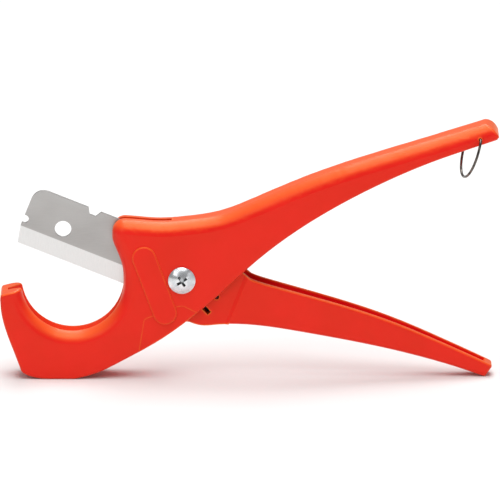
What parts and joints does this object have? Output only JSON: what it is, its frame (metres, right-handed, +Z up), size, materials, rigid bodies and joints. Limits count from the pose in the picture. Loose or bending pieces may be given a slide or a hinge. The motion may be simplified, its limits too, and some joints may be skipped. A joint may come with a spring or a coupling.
{
  "type": "plastic pipe cutter",
  "caption": "Hand-held single-stroke cutter for plastic pipe: hooked cradle, straight blade, two channel-shaped handles on one pivot screw, and a wire latch ring",
  "frame": {"origin": "centre of the bounding box in X and Y, at the height of the surface that the tool stands on", "axes": "+X from the hook to the handle ends, +Y across the tool from the label side to the nut side, +Z up from the hook's foot"},
  "size_m": [0.2089, 0.0253, 0.1098],
  "materials": {
    "body_paint": "orange-red powder coat on die-cast aluminium, satin to semi-gloss",
    "blade_steel": "fine ground flat steel with a brighter ground bevel",
    "bright_zinc": "bright zinc plate, slightly scuffed",
    "nylon": "natural nylon",
    "bush_steel": "turned steel, lightly oiled",
    "spring_steel": "black oiled spring steel",
    "ring_wire": "drawn bright steel wire"
  },
  "bodies": {
    "frame": {"frame_casting": "body_paint", "pivot_screw": "bright_zinc", "pivot_lock_nut": "bright_zinc", "nut_nylon_insert": "nylon", "pivot_sleeve": "bush_steel"},
    "handle": {"lower_handle": "body_paint", "cutting_blade": "blade_steel", "blade_drive_pin": "spring_steel", "return_spring": "spring_steel", "thrust_washer_near": "bush_steel", "thrust_washer_far": "bush_steel"},
    "ring": {"latch_ring": "ring_wire"}
  },
  "joints": [
    {"name": "handle_pivot", "type": "hinge", "parent": "frame", "child": "handle", "pos_m": [-0.0282, 0, 0.0432], "axis": [0, -1, 0], "range_deg": [-23, 35.4], "stiffness_Nm_per_rad": 1.5, "deforming": ["return_spring"]},
    {"name": "ring_swing", "type": "hinge", "parent": "frame", "child": "ring", "pos_m": [0.0951, 0, 0.1044], "axis": [0.1692, -0.9842, -0.0523], "range_deg": [-30, 150]}
  ]
}
